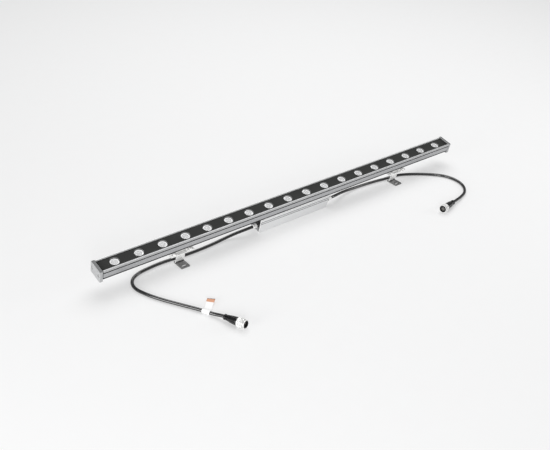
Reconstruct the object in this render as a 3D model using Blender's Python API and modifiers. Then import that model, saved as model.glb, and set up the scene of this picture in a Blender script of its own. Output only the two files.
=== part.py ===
"""Linear LED wall-washer batten, about 1 m long, standing on two tilting feet.

The bar is built in its own frame: X along the bar, Y across it, Z out of the
lens face, with Z = 0 on the rims beside the lenses.  That frame hangs on the
empty "bar_frame", which leans the lens face forward by TILT above the floor
Z = 0.  Feet, leads and connectors are placed in the floor's own frame.
Lengths are written in millimetres and turned into metres by MM.
"""
from math import cos, pi, radians, sin

import bmesh
import bpy
from mathutils import Matrix, Vector

MM = 0.001
GAP = 0.3                       # clearance between neighbouring solids

# ---- driving dimensions -------------------------------------------------
BAR_LENGTH = 1000.0             # over both end caps
TILT = radians(12.0)            # lens face leans this far towards the front
RIM_HEIGHT = 62.2               # rim plane above the floor, on the bar's axis
AXIS_Y = -2.2                   # bar axis, set so that the box is centred on Y = 0

BODY_HALF = 18.2                # half width of the extrusion
WALL_DEPTH = 22.0               # side wall below the rims
RAIL_NECK = 10.5                # half widths of the T rail under the body
RAIL_HALF = 12.5
RAIL_FLANGE_TOP = 24.5
RAIL_DEPTH = 27.0
MOUTH_HALF = 15.1               # opening between the rims

CAP_THICK = 6.5
CAP_HALF = 18.8
CAP_TOP = 0.5
CAP_DEPTH = 27.6
GASKET_THICK = 0.7
HOUSING_HALF_LENGTH = BAR_LENGTH / 2 - CAP_THICK - 2 * GAP - GASKET_THICK

LENS_COUNT = 18
LENS_PITCH = 54.0
LENS_RADIUS = 10.0
LENS_SIDES = 12
LENS_TOP = -4.6                 # crown of the dome, sunk in the mask's opening
MASK_TOP = -3.0
MASK_THICK = 2.0
LEDGE_TOP, LEDGE_BOTTOM = MASK_TOP - MASK_THICK - GAP, -8.4
MASK_HALF = 14.8
BOARD_TOP = -17.0
BOARD_THICK = 1.5
BOARD_HALF = 12.0
EMITTER_SIZE = 3.4
EMITTER_HEIGHT = 1.2

COVER_LEFT, COVER_RIGHT = -111.0, 87.0
COVER_BOTTOM = -60.0
COVER_WALL = 2.0
CREASE_Z = -32.6
DRIVER_LEFT, DRIVER_RIGHT = -99.0, 87.0
DRIVER_HALF = 15.6
DRIVER_TOP, DRIVER_BOTTOM = -29.5, -57.6
END_PLATE_THICK = 3.0
GLAND_Y, GLAND_Z = -4.5, -47.5
GLAND_BODY_LENGTH = 12.0
GLAND_NUT_LENGTH = 10.0
GLAND_NUT_RADIUS = 5.3

BRACKET_LEFT, BRACKET_RIGHT = -314.0, 310.0     # where the clamps sit on the rail
PLATE_HALF_X = 28.0
PLATE_TOP = -27.3
PLATE_THICK = 2.0
PLATE_FRONT = -22.5
SCREW_X, SCREW_Y = 19.5, -19.2
WINDOW_FRONT, WINDOW_BACK = -17.4, -12.4
PIVOT_Y, PIVOT_Z = -12.6, -33.2
KNUCKLE_RADIUS = 2.6
PIN_RADIUS = 1.3
PIN_BORE = 1.65
FOOT_HALF_X = 10.4
FOOT_FRONT, FOOT_BACK = -25.4, 6.2      # measured from the bar axis, on the floor
FOOT_THICK = 2.4
FOOT_SLOT_Y = -17.4
LEG_THICK = 2.0
LEG_FOOT_Y = 1.2

LEAD_DIAMETER = 7.0
LEAD_STEP = 17.0                # distance between the tube's points
LEAD_STUB = 5.0                 # straight ends, square to the gland and the moulding
RING_WALL = 1.1
NUT_RADIUS = 9.9                # metal rings, over their grip
NOSE_RADIUS = {"plug": 8.8, "socket": 9.3}      # and at their mouths
PLUG_LENGTH = 48.8
SOCKET_LENGTH = 51.0
SOCKET_STRETCH = 6.0            # its moulding is longer and its ring shorter
MOULDING_LENGTH = 31.0          # up to the metal ring
AXIS_HEIGHT = 10.1              # connector axis above the floor, at its nut
CONNECTOR_RISE = radians(3.0)

# Route points of the two leads, on the lead's own axis, from the gland to the
# connector: X along the bar, Y from the bar axis, Z above the floor.
LEFT_ROUTE = [
    (-138.0, 7.0, 13.4), (-163.0, 11.4, 9.6), (-188.0, 14.0, 5.6), (-218.0, 12.8, 3.7),
    (-250.0, 10.8, 3.6), (-284.0, 10.7, 3.6), (-318.0, 12.8, 3.6), (-350.0, 14.6, 3.6),
    (-378.0, 13.0, 3.6), (-404.0, 9.0, 3.6), (-423.0, -1.0, 3.6), (-433.5, -17.0, 3.6),
    (-435.5, -36.0, 3.6), (-429.0, -58.0, 3.6), (-419.5, -79.5, 3.6), (-408.5, -100.0, 3.6),
    (-397.0, -119.0, 3.6), (-386.5, -136.5, 3.8), (-377.0, -152.6, 4.2), (-369.3, -166.6, 4.6),
    (-362.8, -179.6, 4.8), (-356.2, -193.0, 5.8),
]
LEFT_PLUG = (-348.2, -211.4)    # where the plug's moulding starts
LEFT_PLUG_NOSE = (-330.3, -259.3)
RIGHT_ROUTE = [
    (127.0, 8.0, 13.6), (150.0, 14.5, 10.2), (176.0, 19.5, 6.6), (205.0, 21.6, 4.1),
    (236.0, 20.6, 3.6), (268.0, 17.6, 3.6), (298.0, 13.4, 3.6), (326.0, 10.9, 3.6),
    (348.0, 5.5, 3.6), (366.0, -3.5, 3.6), (384.0, -14.5, 3.6), (404.0, -29.0, 3.6),
    (421.5, -44.5, 3.6), (435.5, -62.0, 3.6), (443.0, -84.0, 3.6), (442.0, -107.5, 3.6),
    (432.0, -130.0, 3.6), (412.5, -148.5, 3.8), (387.0, -159.3, 4.8), (363.5, -166.0, 6.8),
]
RIGHT_SOCKET = (343.4, -170.7)
RIGHT_SOCKET_NOSE = (293.2, -181.3)
TAG_SPAN = [Vector(point) for point in LEFT_ROUTE[-3:-1]]
TAG_ALONG = (TAG_SPAN[1] - TAG_SPAN[0]).normalized()
TAG_POINT = (TAG_SPAN[0] + TAG_SPAN[1]) / 2 + Vector((0.0, AXIS_Y, 0.0)) + 2.3 * TAG_ALONG
TAG_HALF_WIDTH = 8.8
# The flag's two long edges, from the wrap to its far end; the end is cut askew.
TAG_EDGES = Vector((28.0, 27.0, 0.0)), Vector((32.5, 32.0, 0.0))


def clear_scene():
    for obj in list(bpy.data.objects):
        bpy.data.objects.remove(obj, do_unlink=True)


def make_collection(name):
    collection = bpy.data.collections.new(name)
    bpy.context.scene.collection.children.link(collection)
    return collection


clear_scene()
PARTS = make_collection("led_strip_batten")
CUTTERS = make_collection("cutters")


def make_material(name, color, roughness, metallic):
    material = bpy.data.materials.new(name)
    material.use_nodes = True
    shader = material.node_tree.nodes["Principled BSDF"]
    shader.inputs["Base Color"].default_value = (*color, 1.0)
    shader.inputs["Roughness"].default_value = roughness
    shader.inputs["Metallic"].default_value = metallic
    return material


ALUMINIUM = make_material("anodised_aluminium", (0.62, 0.63, 0.64), 0.38, 0.9)
CAP_GREY = make_material("cap_grey", (0.60, 0.61, 0.62), 0.45, 0.6)
BLACK_PLASTIC = make_material("black_plastic", (0.03, 0.033, 0.03), 0.5, 0.0)
LENS_CLEAR = make_material("lens_clear", (0.82, 0.84, 0.84), 0.08, 0.0)
BOARD_WHITE = make_material("board_white", (0.80, 0.80, 0.76), 0.5, 0.0)
RUBBER = make_material("seal_rubber", (0.08, 0.08, 0.08), 0.8, 0.0)
STEEL = make_material("stainless_steel", (0.66, 0.66, 0.65), 0.25, 1.0)
COVER_GREY = make_material("cover_grey", (0.64, 0.65, 0.66), 0.45, 0.5)
POTTING = make_material("driver_potting", (0.05, 0.05, 0.055), 0.6, 0.0)
LEAD_BLACK = make_material("lead_jacket", (0.035, 0.035, 0.037), 0.35, 0.0)
PAPER = make_material("label_paper", (0.90, 0.90, 0.88), 0.7, 0.0)


def make_frame(name, location, rotation):
    empty = bpy.data.objects.new(name, None)
    empty.location = Vector(location) * MM
    empty.rotation_euler = rotation
    PARTS.objects.link(empty)
    return empty


BAR_FRAME = make_frame("bar_frame", (0.0, AXIS_Y, RIM_HEIGHT), (TILT, 0.0, 0.0))


def bar_to_floor(y, z):
    """Floor-frame Y and Z, in millimetres, of a point of the bar's section."""
    return (AXIS_Y + y * cos(TILT) - z * sin(TILT), RIM_HEIGHT + y * sin(TILT) + z * cos(TILT))


def add_object(name, mesh, material, parent=None, cutter=False):
    obj = bpy.data.objects.new(name, mesh)
    (CUTTERS if cutter else PARTS).objects.link(obj)
    obj.parent = parent
    if material and not mesh.materials:
        mesh.materials.append(material)
    if cutter:
        obj.hide_render = True
        obj.display_type = "WIRE"
    return obj


def boxes_mesh(name, boxes):
    """One mesh of boxes, each given by its low and high corner in millimetres."""
    mesh = bpy.data.meshes.new(name)
    bm = bmesh.new()
    for low, high in boxes:
        low, high = Vector(low) * MM, Vector(high) * MM
        size = high - low
        place = Matrix.Translation((low + high) / 2) @ Matrix.Diagonal((*size, 1.0))
        bmesh.ops.create_cube(bm, size=1.0, matrix=place)
    bm.to_mesh(mesh)
    bm.free()
    return mesh


def rods_mesh(name, rods, sides, axis="Z"):
    """One mesh of round rods: (centre, radius, length) in millimetres, along axis."""
    turn = Matrix.Rotation(pi / 2, 4, "Y") if axis == "X" else Matrix.Identity(4)
    mesh = bpy.data.meshes.new(name)
    bm = bmesh.new()
    for centre, radius, length in rods:
        place = Matrix.Translation(Vector(centre) * MM) @ turn
        bmesh.ops.create_cone(bm, cap_ends=True, segments=sides, radius1=radius * MM,
                              radius2=radius * MM, depth=length * MM, matrix=place)
    bm.to_mesh(mesh)
    bm.free()
    return mesh


def section_mesh(name, loops, start, end):
    """A Y-Z outline, with any holes as further loops, extruded along X."""
    curve = bpy.data.curves.new(name, "CURVE")
    curve.dimensions = "2D"
    curve.fill_mode = "BOTH"
    curve.extrude = (end - start) / 2 * MM
    for loop in loops:
        spline = curve.splines.new("POLY")
        spline.points.add(len(loop) - 1)
        for point, (y, z) in zip(spline.points, loop):
            point.co = (y * MM, z * MM, 0.0, 1.0)
        spline.use_cyclic_u = True
    holder = bpy.data.objects.new(name, curve)
    PARTS.objects.link(holder)
    mesh = curve_to_mesh(holder)
    to_section = Matrix(((0, 0, 1, (start + end) / 2 * MM), (1, 0, 0, 0), (0, 1, 0, 0), (0, 0, 0, 1)))
    mesh.transform(to_section)
    return mesh


def curve_to_mesh(holder):
    """The evaluated mesh of a curve object, welded shut; the curve is removed."""
    bpy.context.view_layer.update()
    evaluated = holder.evaluated_get(bpy.context.evaluated_depsgraph_get())
    mesh = bpy.data.meshes.new_from_object(evaluated)
    mesh.materials.clear()
    bpy.data.objects.remove(holder, do_unlink=True)
    bm = bmesh.new()
    bm.from_mesh(mesh)
    bmesh.ops.remove_doubles(bm, verts=bm.verts, dist=0.00001)
    bmesh.ops.recalc_face_normals(bm, faces=bm.faces)
    bm.to_mesh(mesh)
    bm.free()
    return mesh


def bevel(obj, width, segments=1, angle=40.0):
    modifier = obj.modifiers.new("Bevel", "BEVEL")
    modifier.width = width * MM
    modifier.segments = segments
    modifier.limit_method = "ANGLE"
    modifier.angle_limit = radians(angle)


def boolean(obj, tool, operation):
    modifier = obj.modifiers.new(operation.title(), "BOOLEAN")
    modifier.operation = operation
    modifier.solver = "EXACT"
    modifier.object = tool


def turned(name, profile, sides, material, parent=None, closed=False):
    """A turned solid about local Z; the profile of (radius, z) runs down its outer side."""
    mesh = bpy.data.meshes.new(name)
    bm = bmesh.new()
    corners = [bm.verts.new((r * MM, 0.0, z * MM)) for r, z in profile]
    for a, b in zip(corners, corners[1:]):
        bm.edges.new((a, b))
    if closed:
        bm.edges.new((corners[-1], corners[0]))
    bm.to_mesh(mesh)
    bm.free()
    obj = add_object(name, mesh, material, parent)
    screw = obj.modifiers.new("Screw", "SCREW")
    screw.axis = "Z"
    screw.steps = screw.render_steps = sides
    screw.use_merge_vertices = True
    screw.merge_threshold = 0.00001
    screw.use_smooth_shade = True
    return obj


# ---- the bar --------------------------------------------------------------
def half_section():
    """Outline of the extrusion for Y > 0, from the rim's inner edge round to the duct."""
    return [
        (MOUTH_HALF, 0.0), (17.4, 0.0), (BODY_HALF, -0.8), (BODY_HALF, -4.8), (17.2, -5.4),
        (17.2, -6.8), (BODY_HALF, -7.4), (BODY_HALF, -20.8), (17.0, -WALL_DEPTH),
        (RAIL_NECK, -WALL_DEPTH), (RAIL_NECK, -RAIL_FLANGE_TOP), (RAIL_HALF, -RAIL_FLANGE_TOP),
        (RAIL_HALF, -RAIL_DEPTH),
    ]


def make_housing():
    outer = half_section()
    inner = [
        (8.0, -24.6), (8.0, -18.8), (16.0, -18.8), (16.0, LEDGE_BOTTOM), (13.4, LEDGE_BOTTOM),
        (13.4, LEDGE_TOP), (MOUTH_HALF, LEDGE_TOP),
    ]
    right = outer
    left = [(-y, z) for y, z in reversed(outer)]
    inner_left = [(-y, z) for y, z in reversed(inner)]
    outline = right + left + inner_left + inner
    mesh = section_mesh("housing_extrusion", [outline], -HOUSING_HALF_LENGTH, HOUSING_HALF_LENGTH)
    add_object("housing_extrusion", mesh, ALUMINIUM, BAR_FRAME)


def rounded_outline(half, top, bottom, radius, steps=4):
    """A rectangle in Y-Z with round corners, counter-clockwise from the lower right."""
    outline = []
    corners = ((half, bottom, -90), (half, top, 0), (-half, top, 90), (-half, bottom, 180))
    for y, z, start in corners:
        centre_y = y - radius if y > 0 else y + radius
        centre_z = z - radius if z == top else z + radius
        for step in range(steps + 1):
            angle = radians(start + 90 * step / steps)
            outline.append((centre_y + radius * cos(angle), centre_z + radius * sin(angle)))
    return outline


def make_end(side, sign):
    """End cap, its gasket and its two screws, at one end of the bar."""
    inside = BAR_LENGTH / 2 - CAP_THICK
    outline = rounded_outline(CAP_HALF, CAP_TOP, -CAP_DEPTH, 2.4, 3)
    span = sorted((sign * inside, sign * BAR_LENGTH / 2))
    cap = add_object(f"end_cap_{side}", section_mesh("end_cap", [outline], *span), CAP_GREY, BAR_FRAME)
    holes = [((sign * (BAR_LENGTH / 2 - 3.0), y, -13.4), 1.9, 12.0) for y in (-13.0, 13.0)]
    holes += [((sign * (BAR_LENGTH / 2 - 1.0), y, -13.4), 3.3, 4.0) for y in (-13.0, 13.0)]
    bevel(cap, 0.7)
    for number, hole in enumerate(holes):
        cutter = add_object(f"cap_cutter_{side}_{number}", rods_mesh("cap_hole", [hole], 12, "X"), None,
                            BAR_FRAME, cutter=True)
        boolean(cap, cutter, "DIFFERENCE")

    gasket_inside = inside - GAP - GASKET_THICK
    span = sorted((sign * gasket_inside, sign * (inside - GAP)))
    outer = rounded_outline(BODY_HALF - 0.4, -0.6, -21.4, 1.6, 2)
    window = rounded_outline(10.6, -4.6, -17.2, 1.0, 1)
    add_object(f"end_gasket_{side}", section_mesh("end_gasket", [outer, window], *span), RUBBER, BAR_FRAME)

    for place, y in (("front", -13.0), ("rear", 13.0)):
        profile = [(0.0, 2.4), (2.4, 2.4), (2.9, 1.9), (2.9, 0.0), (1.5, 0.0), (1.5, -3.4), (0.0, -3.4)]
        screw = turned(f"end_screw_{side}_{place}", profile, 12, STEEL, BAR_FRAME)
        screw.location = Vector((sign * (BAR_LENGTH / 2 - 2.7), y, -13.4)) * MM
        screw.rotation_euler = (0.0, sign * pi / 2, 0.0)


def lens_positions():
    return [(number - (LENS_COUNT - 1) / 2) * LENS_PITCH for number in range(LENS_COUNT)]


def make_mask():
    half = HOUSING_HALF_LENGTH - 1.0
    strip = boxes_mesh("lens_mask", [((-half, -MASK_HALF, MASK_TOP - MASK_THICK), (half, MASK_HALF, MASK_TOP))])
    mask = add_object("lens_mask", strip, BLACK_PLASTIC, BAR_FRAME)
    holes = [((x, 0.0, MASK_TOP), LENS_RADIUS + 0.35, 10.0) for x in lens_positions()]
    cutter = add_object("mask_cutter", rods_mesh("mask_holes", holes, LENS_SIDES), None, BAR_FRAME, cutter=True)
    boolean(mask, cutter, "DIFFERENCE")


def make_lenses():
    """Collimator lenses: a domed top, a short band, a cone and a pocket over the emitter."""
    foot = BOARD_TOP + GAP
    profile = [
        (0.0, LENS_TOP), (6.2, LENS_TOP - 0.6), (LENS_RADIUS, LENS_TOP - 1.6), (LENS_RADIUS, LENS_TOP - 2.4),
        (6.2, foot), (3.0, foot), (3.0, foot + 2.2), (0.0, foot + 2.2),
    ]
    for number, x in enumerate(lens_positions(), start=1):
        lens = turned(f"lens_{number:02d}", profile, LENS_SIDES, LENS_CLEAR, BAR_FRAME)
        lens.location = (x * MM, 0.0, 0.0)


def make_board():
    half = HOUSING_HALF_LENGTH - 1.5
    plate = boxes_mesh("led_board", [((-half, -BOARD_HALF, BOARD_TOP - BOARD_THICK), (half, BOARD_HALF, BOARD_TOP))])
    board = add_object("led_board", plate, BOARD_WHITE, BAR_FRAME)
    size = EMITTER_SIZE / 2
    boxes = [((x - size, -size, BOARD_TOP - 0.6), (x + size, size, BOARD_TOP + EMITTER_HEIGHT))
             for x in lens_positions()]
    emitters = add_object("emitter_tool", boxes_mesh("emitters", boxes), None, BAR_FRAME, cutter=True)
    boolean(board, emitters, "UNION")


# ---- the driver box under the bar ------------------------------------------
def make_cover():
    """U channel whose inturned lips hang on the rail's flange."""
    top = -WALL_DEPTH - GAP
    inner = BODY_HALF - COVER_WALL
    lip = top - 1.6
    outside = [
        (RAIL_NECK + 0.8, top), (17.4, top), (BODY_HALF, top - 0.8), (BODY_HALF, CREASE_Z + 0.7),
        (BODY_HALF - 0.6, CREASE_Z), (BODY_HALF, CREASE_Z - 0.7), (BODY_HALF, COVER_BOTTOM + 2.2),
        (BODY_HALF - 0.7, COVER_BOTTOM + 0.7), (BODY_HALF - 2.2, COVER_BOTTOM),
    ]
    inside = [(inner, COVER_BOTTOM + COVER_WALL), (inner, lip), (RAIL_NECK + 0.8, lip)]
    left_outside = [(-y, z) for y, z in reversed(outside)]
    left_inside = [(-y, z) for y, z in reversed(inside)]
    outline = outside + left_outside + left_inside + inside
    mesh = section_mesh("driver_cover", [outline], COVER_LEFT, COVER_RIGHT)
    add_object("driver_cover", mesh, COVER_GREY, BAR_FRAME)


def make_driver():
    outline = rounded_outline(DRIVER_HALF, DRIVER_TOP, DRIVER_BOTTOM, 1.5, 1)
    start = DRIVER_LEFT + END_PLATE_THICK + GAP
    end = DRIVER_RIGHT - END_PLATE_THICK - GAP
    mesh = section_mesh("driver_block", [outline], start, end)
    add_object("driver_block", mesh, POTTING, BAR_FRAME)


def make_gland(side, sign, outer_face):
    """End plate of the driver with its cable gland; outer_face is the plate's outside X."""
    span = sorted((outer_face, outer_face - sign * END_PLATE_THICK))
    outline = rounded_outline(DRIVER_HALF, DRIVER_TOP, DRIVER_BOTTOM, 1.5, 1)
    hole = [(GLAND_Y + 4.4 * cos(radians(30 * k)), GLAND_Z + 4.4 * sin(radians(30 * k))) for k in range(12)]
    mesh = section_mesh("driver_end", [outline, hole], *span)
    add_object(f"driver_end_{side}", mesh, BLACK_PLASTIC, BAR_FRAME)

    body_profile = [
        (0.0, GLAND_BODY_LENGTH), (4.6, GLAND_BODY_LENGTH), (5.6, GLAND_BODY_LENGTH - 1.0),
        (5.6, GAP), (4.0, GAP), (4.0, -END_PLATE_THICK), (0.0, -END_PLATE_THICK),
    ]
    body = turned(f"gland_body_{side}", body_profile, 12, STEEL, BAR_FRAME)
    nut_profile = [
        (0.0, GLAND_NUT_LENGTH), (4.4, GLAND_NUT_LENGTH), (GLAND_NUT_RADIUS, GLAND_NUT_LENGTH - 2.4),
        (GLAND_NUT_RADIUS, 0.0), (0.0, 0.0),
    ]
    nut = turned(f"gland_nut_{side}", nut_profile, 12, STEEL, BAR_FRAME)
    for piece, offset in ((body, 0.0), (nut, GLAND_BODY_LENGTH + GAP)):
        piece.location = Vector((outer_face + sign * offset, GLAND_Y, GLAND_Z)) * MM
        piece.rotation_euler = (0.0, sign * pi / 2, 0.0)
    return outer_face + sign * (GLAND_BODY_LENGTH + GAP + GLAND_NUT_LENGTH + GAP)


# ---- brackets ---------------------------------------------------------------
def make_clamp(side, centre):
    """Clamp plate with a rear hook round the rail and two lugs for the pivot pin."""
    frame = make_frame(f"bracket_frame_{side}", (centre, 0.0, 0.0), (0.0, 0.0, 0.0))
    frame.parent = BAR_FRAME
    low = PLATE_TOP - PLATE_THICK
    hook_top = -WALL_DEPTH - 0.5
    section = [
        (PLATE_FRONT, low), (15.2, low), (15.2, hook_top), (RAIL_NECK + 0.7, hook_top),
        (RAIL_NECK + 0.7, -RAIL_FLANGE_TOP + 0.4), (RAIL_HALF + 0.4, -RAIL_FLANGE_TOP + 0.4),
        (RAIL_HALF + 0.4, PLATE_TOP), (PLATE_FRONT, PLATE_TOP),
    ]
    plate = add_object(f"clamp_plate_{side}", section_mesh("clamp", [section], -PLATE_HALF_X, PLATE_HALF_X),
                       STEEL, frame)
    lugs = []
    for sign in (-1, 1):
        inner, outer = sorted((sign * 10.9, sign * 15.4))
        lug = section_mesh("lug", [lug_outline()], inner, outer)
        lugs.append(add_object(f"lug_tool_{side}_{'ab'[sign > 0]}", lug, None, frame, cutter=True))
    for lug in lugs:
        boolean(plate, lug, "UNION")
    cuts = boxes_mesh("clamp_window", [((-10.6, WINDOW_FRONT, low - 3.0), (10.6, WINDOW_BACK, PLATE_TOP + 3.0))])
    boolean(plate, add_object(f"window_cutter_{side}", cuts, None, frame, cutter=True), "DIFFERENCE")
    bores = rods_mesh("screw_bores", [((x, SCREW_Y, PLATE_TOP), 2.2, 12.0) for x in (-SCREW_X, SCREW_X)], 12)
    boolean(plate, add_object(f"screw_bore_cutter_{side}", bores, None, frame, cutter=True), "DIFFERENCE")
    pin_bore = rods_mesh("pin_bore", [((0.0, PIVOT_Y, PIVOT_Z), PIN_BORE, 40.0)], 12, "X")
    boolean(plate, add_object(f"pin_bore_cutter_{side}", pin_bore, None, frame, cutter=True), "DIFFERENCE")
    return frame


def lug_outline():
    """Rounded lug under the plate's front edge, round below and buried in the plate above."""
    top = PLATE_TOP - PLATE_THICK / 2
    lower = [(PIVOT_Y + KNUCKLE_RADIUS * cos(radians(a)), PIVOT_Z + KNUCKLE_RADIUS * sin(radians(a)))
             for a in range(180, 361, 30)]
    return lower + [(PIVOT_Y + KNUCKLE_RADIUS, top), (PIVOT_Y - KNUCKLE_RADIUS, top)]


def make_jaw(side, frame):
    """Front jaw: a bar with a lip over the rail's flange, and two ears for the screws."""
    top = -WALL_DEPTH - 0.5
    low = PLATE_TOP + GAP
    section = [
        (-15.1, low), (-RAIL_HALF - 0.4, low), (-RAIL_HALF - 0.4, -RAIL_FLANGE_TOP + 0.4),
        (-RAIL_NECK - 0.7, -RAIL_FLANGE_TOP + 0.4), (-RAIL_NECK - 0.7, top), (-15.1, top),
    ]
    jaw = add_object(f"clamp_jaw_{side}", section_mesh("jaw", [section], -27.0, 27.0), STEEL, frame)
    ears = [((a, -22.2, low), (b, -14.0, low + 1.6)) for a, b in ((-26.6, -12.4), (12.4, 26.6))]
    boolean(jaw, add_object(f"ear_tool_{side}", boxes_mesh("ears", ears), None, frame, cutter=True), "UNION")
    bores = rods_mesh("jaw_bores", [((x, SCREW_Y, low), 2.2, 8.0) for x in (-SCREW_X, SCREW_X)], 12)
    boolean(jaw, add_object(f"jaw_bore_cutter_{side}", bores, None, frame, cutter=True), "DIFFERENCE")


def make_bracket_fasteners(side, frame):
    seat = PLATE_TOP + GAP + 1.6 + GAP
    profile = [(0.0, 2.2), (2.7, 2.2), (3.4, 1.6), (3.4, 0.0), (1.9, 0.0), (1.9, -6.0), (0.0, -6.0)]
    for place, x in (("outer", -SCREW_X), ("inner", SCREW_X)):
        screw = turned(f"clamp_screw_{side}_{place}", profile, 12, STEEL, frame)
        screw.location = Vector((x, SCREW_Y, seat)) * MM
    reach = 15.4 + GAP
    pin_profile = [
        (0.0, reach + 1.2), (2.3, reach + 1.2), (2.3, reach), (PIN_RADIUS, reach),
        (PIN_RADIUS, -reach), (2.3, -reach), (2.3, -reach - 1.2), (0.0, -reach - 1.2),
    ]
    pin = turned(f"pivot_pin_{side}", pin_profile, 12, STEEL, frame)
    pin.location = Vector((0.0, PIVOT_Y, PIVOT_Z)) * MM
    pin.rotation_euler = (0.0, pi / 2, 0.0)


def leg_outline(pivot_y, pivot_z):
    """The leg's curved sheet from the knuckle down to the base, in floor Y-Z."""
    top = Vector((pivot_y + 0.4, pivot_z - 0.8))
    bulge = Vector((pivot_y + 0.2, pivot_z * 0.34))
    foot = Vector((AXIS_Y + LEG_FOOT_Y, FOOT_THICK * 0.5))
    front, back = [], []
    for step in range(7):
        t = step / 6
        point = (1 - t) ** 2 * top + 2 * t * (1 - t) * bulge + t * t * foot
        along = (2 * (1 - t) * (bulge - top) + 2 * t * (foot - bulge)).normalized()
        normal = Vector((along.y, -along.x)) * LEG_THICK / 2
        front.append(tuple(point + normal))
        back.append(tuple(point - normal))
    return front + back[::-1]


def make_foot(side, centre):
    """Foot on its pivot: knuckle, curved leg and slotted base, flat on the floor."""
    pivot_y, pivot_z = bar_to_floor(PIVOT_Y, PIVOT_Z)
    pivot = make_frame(f"foot_pivot_{side}", (centre, pivot_y, pivot_z), (0.0, 0.0, 0.0))
    place = Matrix.Translation(Vector((0.0, -pivot_y, -pivot_z)) * MM)

    def tool(name, mesh, operation):
        mesh.transform(place)
        boolean(foot, add_object(f"{name}_{side}", mesh, None, pivot, cutter=True), operation)

    low, high = (-FOOT_HALF_X, AXIS_Y + FOOT_FRONT, 0.0), (FOOT_HALF_X, AXIS_Y + FOOT_BACK, FOOT_THICK)
    base = boxes_mesh("foot", [(low, high)])
    base.transform(place)
    foot = add_object(f"foot_{side}", base, STEEL, pivot)
    tool("leg_tool", section_mesh("leg", [leg_outline(pivot_y, pivot_z)], -FOOT_HALF_X, FOOT_HALF_X), "UNION")
    knuckle = rods_mesh("knuckle", [((0.0, pivot_y, pivot_z), KNUCKLE_RADIUS, 2 * FOOT_HALF_X)], 16, "X")
    tool("knuckle_tool", knuckle, "UNION")
    tool("foot_bore_cutter", rods_mesh("foot_bore", [((0.0, pivot_y, pivot_z), PIN_BORE, 30.0)], 12, "X"),
         "DIFFERENCE")
    slot = section_mesh("slot", [oblong(3.3, 2.7)], -5.0, 5.0)
    slot_place = Vector((0.0, AXIS_Y + FOOT_SLOT_Y, FOOT_THICK / 2)) * MM
    slot.transform(Matrix.Translation(slot_place) @ Matrix.Rotation(pi / 2, 4, "Y"))
    tool("slot_cutter", slot, "DIFFERENCE")


def oblong(half_run, radius, steps=4):
    """Outline of an oblong hole about its middle: two half circles, half_run either side."""
    points = []
    for centre, start in ((half_run, 0), (-half_run, 180)):
        for step in range(steps + 1):
            angle = radians(start + 180 * step / steps)
            points.append((radius * cos(angle), centre + radius * sin(angle)))
    return points


# ---- leads and connectors ----------------------------------------------------
def smooth_route(points, step):
    """Points at even steps along a Catmull-Rom curve through the route's points."""
    points = [Vector(p) for p in points]
    ends = [2 * points[0] - points[1]] + points + [2 * points[-1] - points[-2]]
    fine = []
    for a, b, c, d in zip(ends, ends[1:], ends[2:], ends[3:]):
        for sample in range(24):
            t = sample / 24
            fine.append(0.5 * (2 * b + (c - a) * t + (2 * a - 5 * b + 4 * c - d) * t ** 2
                               + (3 * b - a - 3 * c + d) * t ** 3))
    fine.append(points[-1])
    lengths = [0.0]
    for a, b in zip(fine, fine[1:]):
        lengths.append(lengths[-1] + (b - a).length)
    count = round(lengths[-1] / step)
    even, index = [], 0
    for number in range(count + 1):
        target = lengths[-1] * number / count
        while index < len(fine) - 2 and lengths[index + 1] < target:
            index += 1
        share = (target - lengths[index]) / (lengths[index + 1] - lengths[index])
        even.append(fine[index].lerp(fine[index + 1], share))
    return even


def make_lead(name, points):
    curve = bpy.data.curves.new(name, "CURVE")
    curve.dimensions = "3D"
    curve.bevel_depth = LEAD_DIAMETER / 2 * MM
    curve.bevel_resolution = 2
    curve.use_fill_caps = True
    spline = curve.splines.new("POLY")
    spline.points.add(len(points) - 1)
    for target, point in zip(spline.points, points):
        target.co = (*(point * MM), 1.0)
    curve.materials.append(LEAD_BLACK)
    lead = bpy.data.objects.new(name, curve)
    PARTS.objects.link(lead)


def connector_frame(name, start, nose):
    """Frame at the connector's cable end, with its local Z along the connector."""
    start = Vector((start[0], start[1] + AXIS_Y, 0.0))
    nose = Vector((nose[0], nose[1] + AXIS_Y, 0.0))
    along = (nose - start).normalized() * cos(CONNECTOR_RISE) + Vector((0, 0, sin(CONNECTOR_RISE)))
    start.z = AXIS_HEIGHT - MOULDING_LENGTH * sin(CONNECTOR_RISE)
    frame = make_frame(name, start, (0.0, 0.0, 0.0))
    frame.rotation_euler = along.to_track_quat("Z", "Y").to_euler()
    return frame, start, along


def make_moulding(name, frame, stretch):
    """Rubber moulding with a collar, a taper and a neck that the metal ring grips."""
    end = MOULDING_LENGTH + stretch
    profile = [
        (0.0, end + 4.0), (5.6, end + 4.0), (5.6, end - GAP), (8.0, end - GAP), (8.3, end - 4.0),
        (7.6, end - 12.0), (6.0, 9.0), (5.0, 3.6), (5.8, 3.2), (5.8, 0.0), (0.0, 0.0),
    ]
    turned(name, profile, 16, LEAD_BLACK, frame)


def make_insert(name, frame, stretch, length, radius):
    """Contact carrier: a stem that meets the moulding and a round face at the ring's mouth."""
    seat = MOULDING_LENGTH + stretch + 4.0 + GAP
    profile = [(0.0, length), (radius - 0.5, length), (radius, length - 0.5), (radius, seat + 2.4),
               (5.6, seat + 2.4), (5.6, seat), (0.0, seat)]
    turned(name, profile, 16, BLACK_PLASTIC, frame)


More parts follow.
